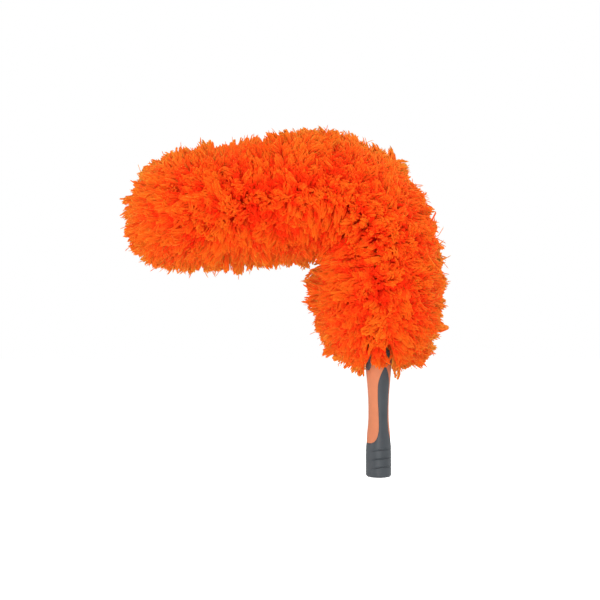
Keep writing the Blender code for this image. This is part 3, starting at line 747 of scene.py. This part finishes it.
def surface(lengths, angles):
    """Give points of the straight pile's surface and their outward directions."""
    along = np.interp(lengths, outline_length, outline[:, 0])
    radius = np.interp(lengths, outline_length, outline[:, 1])
    step = 0.002
    ahead = np.clip(lengths + step, 0, outline_length[-1])
    behind = np.clip(lengths - step, 0, outline_length[-1])
    rise = (np.interp(ahead, outline_length, outline[:, 0])
            - np.interp(behind, outline_length, outline[:, 0]))
    widen = (np.interp(ahead, outline_length, outline[:, 1])
             - np.interp(behind, outline_length, outline[:, 1]))
    size = np.hypot(rise, widen)
    return around(radius, angles, along), around(rise / size, angles, -widen / size)


# The strands fan out below the first of these heights and above the second; in between they
# stand square to the core. The last ones before the tip grow on the sleeve's closed end.
FAN_BELOW, FAN_ABOVE = 0.235, 0.480
CLOSED_END = 0.024


def root_of(lengths):
    """Match each place on the outline with the strand's root on the sleeve."""
    neck_end, tip_start = np.interp((FAN_BELOW, FAN_ABOVE), outline[:, 0], outline_length)
    tip_turn = outline_length[-1] - CLOSED_END
    along = np.interp(lengths, [0, neck_end, tip_start, tip_turn, outline_length[-1]],
                      [SKIRT_ROOT, FAN_BELOW, FAN_ABOVE, SLEEVE_END - 0.001, SLEEVE_END])
    radius = sleeve_radius(along)
    closing = np.clip((outline_length[-1] - lengths) / CLOSED_END, 0.05, 1)
    return along, np.where(lengths > tip_turn, radius * closing, radius)


def nearest(centres, points, count=1):
    """Find each point's nearest centres, as indices and distances."""
    tree = kdtree.KDTree(len(centres))
    for index, centre in enumerate(centres):
        tree.insert(centre, index)
    tree.balance()
    found = [tree.find_n(point, count) for point in points]
    indices = np.array([[hit[1] for hit in hits] for hits in found])
    distances = np.array([[hit[2] for hit in hits] for hits in found])
    return indices, distances


def unit(vectors):
    """Scale vectors to length 1."""
    return vectors / np.maximum(np.linalg.norm(vectors, axis=-1, keepdims=True), 1e-9)


def across_of(directions, wanted):
    """Keep only what lies square to the given directions."""
    return wanted - directions * np.sum(wanted * directions, axis=-1, keepdims=True)


# Lobes stand off by up to a few millimetres and lean their own way; tufts stand unevenly.
lobe_length, lobe_angle = cover(chance.uniform(0, 1, (4 * LOBE_COUNT, 3)), LOBE_COUNT)
lobe_point, lobe_out = surface(lobe_length, lobe_angle)
lobe_rise = chance.normal(0, LOBE_RISE, LOBE_COUNT)
lobe_lean = across_of(lobe_out, chance.normal(0, LOBE_LEAN, (LOBE_COUNT, 3)))
lobe_tint = chance.normal(0, 0.10, LOBE_COUNT)

tuft_length, tuft_angle = cover(chance.uniform(0, 1, (4 * TUFT_COUNT, 3)), TUFT_COUNT)
tuft_point, tuft_out = surface(tuft_length, tuft_angle)
tuft_place = along_core(tuft_point)
lobe, lobe_distance = nearest(along_core(lobe_point), tuft_place, 2)
rim = np.clip((lobe_distance[:, 1] - lobe_distance[:, 0]) / (0.45 * LOBE_SIZE), 0, 1)
lobe = lobe[:, 0]
tuft_rise = (lobe_rise[lobe] - HOLLOW_DEPTH * (1 - rim) ** 1.5
             + chance.normal(0, TUFT_RISE, TUFT_COUNT))
for along, angle, swell, spread in SWELLS:
    middle = along_core(around(PILE_RADIUS, math.radians(angle), along))
    gap = np.linalg.norm(tuft_place - middle, axis=1)
    tuft_rise = tuft_rise + swell * np.exp(-(gap / spread) ** 2)
tuft_lean = lobe_lean[lobe] * (0.3 + 0.7 * rim)[:, None]
tuft_lean = tuft_lean + across_of(tuft_out, chance.normal(0, TUFT_LEAN, (TUFT_COUNT, 3)))
tuft_pull = chance.uniform(*TUFT_PULL, TUFT_COUNT)
tuft_sweep = chance.uniform(*TUFT_SWEEP, (TUFT_COUNT, 1))
# A tuft's tint is a random tone plus painted shade, redder towards the hollows between lobes.
tuft_tint_and_shade = (0.60 - HOLLOW_SHADE * (1 - rim) + chance.normal(0, 0.11, TUFT_COUNT)
             + lobe_tint[lobe])

# The strands' ends stand at even gaps, which steps of these three sizes give.
EVEN_STEPS = (0.8191725, 0.6710436, 0.5497005)
even_draws = np.arange(1, 4 * STRAND_COUNT)[:, None] * EVEN_STEPS % 1
end_length, end_angle = cover(even_draws, STRAND_COUNT)
end_point, end_out = surface(end_length, end_angle)
tuft, tuft_distance = nearest(tuft_place, along_core(end_point))
tuft = tuft[:, 0]

# Each strand ends in its tuft, a little long or short, and a few stray.
stray_share = np.where(end_point[:, 2] < 0.160, SKIRT_STRAY_SHARE, STRAY_SHARE)
stray = chance.uniform(0, 1, STRAND_COUNT) < stray_share
short = np.arange(STRAND_COUNT) > LONG_SHARE * STRAND_COUNT
gathered = np.where(short, 0.15, 1.0)[:, None]
off_centre = np.clip(tuft_distance[:, 0] / TUFT_SIZE, 0, 1.3) ** 2
own_rise = (chance.normal(0, STRAND_RISE, STRAND_COUNT)
            + stray * chance.uniform(*STRAY_REACH, STRAND_COUNT)
            - short * chance.uniform(*SHORT_BY, STRAND_COUNT)
            + MEAN_RISE - TUFT_CROWN * off_centre)
tip = end_point + (tuft_point[tuft] - end_point) * tuft_pull[tuft][:, None] * gathered
rise = np.maximum(tuft_rise[tuft] * np.where(short, 0.5, 1) + own_rise, DEEPEST_END)
tip = tip + end_out * rise[:, None] + tuft_lean[tuft] * gathered
tip = tip + across_of(end_out, chance.normal(0, 0.0011, (STRAND_COUNT, 3)))

# Over the handle the skirt is trimmed a little shorter, clear of the tongue.
over_handle = ((np.abs(tip[:, 0] - FRINGE_MIDDLE) < FRINGE_REACH)
               & (tip[:, 1] < FRINGE_FRONT))
trim = np.interp(tip[:, 0], *np.array(FRINGE).T) + chance.uniform(0, 0.005, STRAND_COUNT)
trim = trim - FRINGE_SLOPE * (tip[:, 1] - PARTING_PLANE)
tip[:, 2] = np.where(over_handle, np.maximum(tip[:, 2], trim), tip[:, 2])

# The nearest strands are drawn into each lock.
combed = np.ones(STRAND_COUNT, bool)
for start, finish, strands, aside in LOCKS:
    gap = np.linalg.norm((tip - start) * (1, 0.35, 1), axis=1)
    drawn = np.argsort(gap)[:strands]
    combed[drawn] = aside
    down = chance.uniform(0.1, 1, (strands, 1))
    tip[drawn] = (start + (np.array(finish) - start) * down
                  + chance.normal(0, 0.0014, (strands, 3)) * (1.1 - down))

# The strands leave the sleeve nearly square to it and arrive swept to their tuft's side.
root_length = end_length + (tuft_length[tuft] - end_length) * ROOT_GATHER
root_along, root_radius = root_of(root_length)
root_along = root_along + chance.normal(0, ROOT_SCATTER, STRAND_COUNT)
root_along = np.clip(root_along, LOWEST_ROOT, SLEEVE_END)
root_angle = end_angle + chance.normal(0, ROOT_TURN, STRAND_COUNT)
root = around(root_radius - 0.0002, root_angle, root_along)
straight = tip - root
reach = np.linalg.norm(straight, axis=1, keepdims=True)
leave = unit(unit(straight) + 0.9 * around(1, root_angle, 0))
sweep = unit(tuft_lean[tuft] + across_of(end_out, chance.normal(0, 0.0042, (STRAND_COUNT, 3))))
arrive = unit(unit(straight) + tuft_sweep[tuft] * sweep)

# A cubic curve from root to tip, with a small wave of the strand's own.
share = np.array(STRAND_ROWS)[None, :, None]
first, last = root[:, None], tip[:, None]
second = first + (leave * reach * 0.35)[:, None]
third = last - (arrive * reach * 0.36)[:, None]
path = ((1 - share) ** 3 * first + 3 * (1 - share) ** 2 * share * second
        + 3 * (1 - share) * share ** 2 * third + share ** 3 * last)
wave = chance.uniform(*WAVE_TURNS, (STRAND_COUNT, 1, 1)) * share
wave = wave + chance.uniform(0, 1, (STRAND_COUNT, 1, 1))
wave_side = across_of(end_out, chance.normal(0, WAVE_WIDTH, (STRAND_COUNT, 3)))[:, None]
path = path + wave_side * np.sin(2 * math.pi * wave) * share * (0.4 + 0.6 * share)

# The strands on the bend's inside stop short of the bend's centre.
at_bend = (path[..., 2] > BEND_START - 0.002) & (path[..., 2] < BEND_END + 0.002)
inner_limit = INNER_STOP + chance.uniform(0, INNER_SCATTER, (STRAND_COUNT, 1))
path[..., 0] = np.where(at_bend, np.maximum(path[..., 0], inner_limit), path[..., 0])

# The far end droops to the inside, and weight draws the level strands down a little.
far = np.clip((end_point[:, 2] - DROOP_START) / (PILE_END - DROOP_START), 0, 1) ** 2
path[:, :, 0] -= DROOP * far[:, None] * share[:, :, 0] ** 2
path = along_core(path)
level = 1 - np.abs(unit(path[:, -1] - path[:, 0])[:, 2])
path[:, :, 2] -= SAG * level[:, None] * share[:, :, 0] ** 2

# The skirt's front is parted over the collar: strands that would cross a parting are combed
# to its nearer side.
fine = np.linspace(0, len(STRAND_ROWS) - 1, 37)
lower = np.minimum(fine.astype(int), len(STRAND_ROWS) - 2)
part = (fine - lower)[None, :, None]
skirt = np.nonzero((path[:, -1, 2] < SKIRT_TOP) & (path[:, -1, 1] < 0) & combed)[0]
for outline_rows in PARTINGS:
    heights, lefts, rights = np.array(outline_rows).T
    places = path[skirt][:, lower] * (1 - part) + path[skirt][:, lower + 1] * part
    deep = places[..., 1] - PARTING_PLANE
    across = places[..., 0] - SIGHT_ACROSS * deep
    height = places[..., 2] + SIGHT_DOWN * deep
    left = np.interp(height, heights, lefts - PARTING_MARGIN, left=0, right=0)
    right = np.interp(height, heights, rights + PARTING_MARGIN, left=0, right=0)
    collar = -np.sqrt(np.maximum(HEM_RADIUS ** 2 - places[..., 0] ** 2, 0))
    inside = (across > left) & (across < right) & (places[..., 1] < collar)
    leftward = np.where(np.sum((across - (left + right) / 2) * inside, axis=1) < 0, -1.0, 1.0)
    push = np.where(leftward[:, None] < 0, across - left, right - across)
    path[skirt, :, 0] += (leftward * np.where(inside, push, 0).max(axis=1))[:, None]

# The proudest strands at the front and back lie back on the pile.
PROUD_FROM, LIE_BACK = 0.083, 0.55
proud = np.maximum(np.abs(path[..., 1]) - PROUD_FROM, 0)
path[..., 1] -= np.sign(path[..., 1]) * proud * LIE_BACK

# Bend a copy of the modelled strand along each path.
tangent = unit(np.gradient(path, axis=1))
any_side = np.cross(path[:, -1] - path[:, 0], chance.normal(0, 1, (STRAND_COUNT, 3)))[:, None]
side_one = unit(across_of(tangent, np.broadcast_to(any_side, tangent.shape)))
side_two = np.cross(tangent, side_one)
thick = STRAND_RADIUS * chance.uniform(*STRAND_THICKNESS, (STRAND_COUNT, 1, 1))
kind = np.where(stray, STRAY_THICKNESS, np.where(short, SHORT_THICKNESS, 1))
thick = thick * kind[:, None, None]
copies = (path[:, strand_row]
          + side_one[:, strand_row] * strand_shape[None, :, 0:1] * thick
          + side_two[:, strand_row] * strand_shape[None, :, 1:2] * thick)

# A strand is shaded half as a round thread and half as a part of the pile's soft surface.
ROUNDNESS = 0.95
shading = unit(unit(side_one[:, strand_row] * strand_shape[None, :, 0:1]
                    + side_two[:, strand_row] * strand_shape[None, :, 1:2]) * ROUNDNESS
               + unit(path[:, -1:] - path[:, :1]))

# The skirt and the tip are painted lighter, as painted light. Strands at a tuft's edge,
# which end lower, are painted redder as painted shade, and so are ends that lie deep in the
# pile.
ends_painted_light = np.interp(end_point[:, 2], (0.160, 0.205, 0.440, 0.510), (0.16, 0, 0, 0.16))
strand_tint_and_shade = np.clip(tuft_tint_and_shade[tuft] + ends_painted_light - 0.45 * off_centre
                      + chance.normal(0, 0.07, STRAND_COUNT), 0, 1)
end_depth_shade = np.clip(1 + (tuft_rise[tuft] + own_rise) / 0.035, 0.55, 1)


def gather_strands(name, chosen):
    """Write the chosen strands as one mesh, with their root-to-tip shade and their tint and
    shade.
    """
    picked = copies[chosen]
    count, size = picked.shape[:2]
    loops = (np.concatenate(strand_faces) + np.arange(count)[:, None] * size).ravel()
    totals = np.tile([len(face) for face in strand_faces], count)
    starts = np.append(0, np.cumsum(totals)[:-1])
    data = bpy.data.meshes.new(name)
    data.vertices.add(count * size)
    data.loops.add(len(loops))
    data.polygons.add(len(totals))
    data.vertices.foreach_set("co", picked.astype(np.float32).ravel())
    data.loops.foreach_set("vertex_index", loops.astype(np.int32))
    data.polygons.foreach_set("loop_start", starts.astype(np.int32))
    data.update(calc_edges=True)
    # The root-to-tip share, shortened for deep ends, carries painted shade.
    along = data.attributes.new("root_to_tip_shade", 'FLOAT', 'POINT')
    heights = end_depth_shade[chosen][:, None] * np.array(STRAND_ROWS)[strand_row]
    along.data.foreach_set("value", heights.astype(np.float32).ravel())
    tint = data.attributes.new("yarn_tint_and_shade", 'FLOAT', 'POINT')
    tint.data.foreach_set("value", np.repeat(strand_tint_and_shade[chosen], size).astype(np.float32))
    data.materials.append(microfibre)
    data.shade_smooth()
    data.normals_split_custom_set_from_vertices(shading[chosen].reshape(-1, 3))
    piece = bpy.data.objects.new(name, data)
    bpy.context.scene.collection.objects.link(piece)
    return piece


# No mesh holds more strands than this, so that each can be exported whole.
MESH_STRANDS = 6800


def lay_strands(name, low, high):
    """Write the strands rooted between two heights as one mesh, or as more where needed."""
    chosen = np.nonzero((root_along >= low) & (root_along < high))[0]
    shares = 1 + len(chosen) // MESH_STRANDS
    return [gather_strands(name if shares == 1 else f"{name}_{first + 1}",
                           chosen[first::shares]) for first in range(shares)]


NECK_TOP = 0.196
TIP_BAND = PILE_END - 0.079
UPPER_MIDDLE = (BEND_END + TIP_BAND) / 2
TIP_ROOTS = TIP_BAND - 0.045
for name, low, high, body, node in (
    ("strands_neck", 0, NECK_TOP, "handle", "pile_neck"),
    ("strands_lower", NECK_TOP, BEND_START, "handle", "pile_lower"),
    ("strands_upper_1", BEND_END, UPPER_MIDDLE, "head", "pile_upper_1"),
    ("strands_upper_2", UPPER_MIDDLE, TIP_ROOTS, "head", "pile_upper_2"),
    ("strands_tip", TIP_ROOTS, 1, "head", "pile_tip"),
):
    for piece in lay_strands(name, low, high):
        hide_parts(node)
        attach(piece, body)
for stretch in range(BEND_STRETCHES):
    for piece in lay_strands(f"strands_bend_{stretch + 1}", *stretch_ends(stretch)):
        if stretch < 2:
            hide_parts("pile_bend_1")
        if stretch > 0:
            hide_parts("pile_bend_2")
        flex(piece)


# ---------------------------------------------------------------------------------------
# Studio: a plain pale floor well below the duster, which is held up as if on its pole,
# soft even lamps and the photograph's level view.
# ---------------------------------------------------------------------------------------
FLOOR_HEIGHT = -0.18
FLOOR_GREY = (0.80, 0.80, 0.80, 1)
WHITE = (1, 1, 1, 1)
HEAD_MIDDLE = Vector((-0.12, 0, 0.25))
CAMERA_PLACE = (-0.0942, -1.350, 0.2118)
# The room's even light, and how bright it looks to the camera.
ROOM_LIGHT, ROOM_WHITE = 0.45, 1.0


def seen_directly(owner):
    """Add a switch that is 1 for what the camera sees, straight or in a glint, else 0."""
    rays = add_node(owner, "ShaderNodeLightPath")
    glints = add_node(owner, "ShaderNodeMath", operation='MAXIMUM')
    join(owner, rays, "Is Glossy Ray", glints, 0)
    join(owner, rays, "Is Transmission Ray", glints, 1)
    seen = add_node(owner, "ShaderNodeMath", operation='MAXIMUM')
    join(owner, rays, "Is Camera Ray", seen, 0)
    join(owner, glints, "Value", seen, 1)
    return seen


clear_selection()
bpy.ops.mesh.primitive_plane_add(size=12, location=(0, 0, FLOOR_HEIGHT))
floor = bpy.context.object
floor.name = "studio_floor"
floor_paint, floor_shader = start_finish("studio_floor_paint", 0.9, Specular_IOR_Level=0.1)
floor_shader.inputs["Base Color"].default_value = FLOOR_GREY
floor_place = add_node(floor_paint, "ShaderNodeTexCoord")
floor_reach = add_node(floor_paint, "ShaderNodeVectorMath", operation='LENGTH')
join(floor_paint, floor_place, "Object", floor_reach, 0)
floor_glow = add_node(floor_paint, "ShaderNodeMapRange", {
    "From Min": 0.3, "From Max": 2.0, "To Min": 0.42, "To Max": 0.75})
join(floor_paint, floor_reach, "Value", floor_glow, "Value")
glow = add_node(floor_paint, "ShaderNodeMath", operation='MULTIPLY')
join(floor_paint, seen_directly(floor_paint), "Value", glow, 0)
join(floor_paint, floor_glow, "Result", glow, 1)
floor_shader.inputs["Emission Color"].default_value = WHITE
join(floor_paint, glow, "Value", floor_shader, "Emission Strength")
floor.data.materials.append(floor_paint)

world = bpy.data.worlds.new("studio_light")
bpy.context.scene.world = world
world.use_nodes = True
background = world.node_tree.nodes["Background"]
level = add_node(world, "ShaderNodeMix", {2: ROOM_LIGHT, 3: ROOM_WHITE}, data_type='FLOAT')
join(world, seen_directly(world), "Value", level, 0)
join(world, level, 0, background, "Strength")
background.inputs["Color"].default_value = WHITE

for name, place, size, power in (
    ("key_lamp", (-0.25, -1.9, 0.32), 0.8, 13.8),
    ("low_lamp", (-0.06, -1.4, -0.10), 0.8, 8.2),
    ("left_lamp", (-1.5, -0.5, 0.1), 0.8, 8),
    ("right_lamp", (1.3, -0.3, 0.8), 1.0, 9),
    ("back_lamp", (0.1, 1.9, 0.4), 1.0, 24),
    ("top_lamp", (-0.1, -0.3, 1.9), 1.0, 12.2),
):
    clear_selection()
    bpy.ops.object.light_add(type='AREA', location=place)
    lamp = bpy.context.object
    lamp.name = name
    lamp.data.shape = 'SQUARE'
    lamp.data.size = size
    lamp.data.energy = power
    lamp.rotation_euler = (HEAD_MIDDLE - Vector(place)).to_track_quat('-Z', 'Y').to_euler()

bpy.ops.object.camera_add(location=CAMERA_PLACE, rotation=(math.radians(90), 0, 0))
camera = bpy.context.object
camera.name = "photo_camera"
camera.data.sensor_width = 36
camera.data.lens = 67.5
camera.data.clip_start = 0.05
bpy.context.scene.camera = camera
bpy.context.scene.view_settings.view_transform = 'Standard'
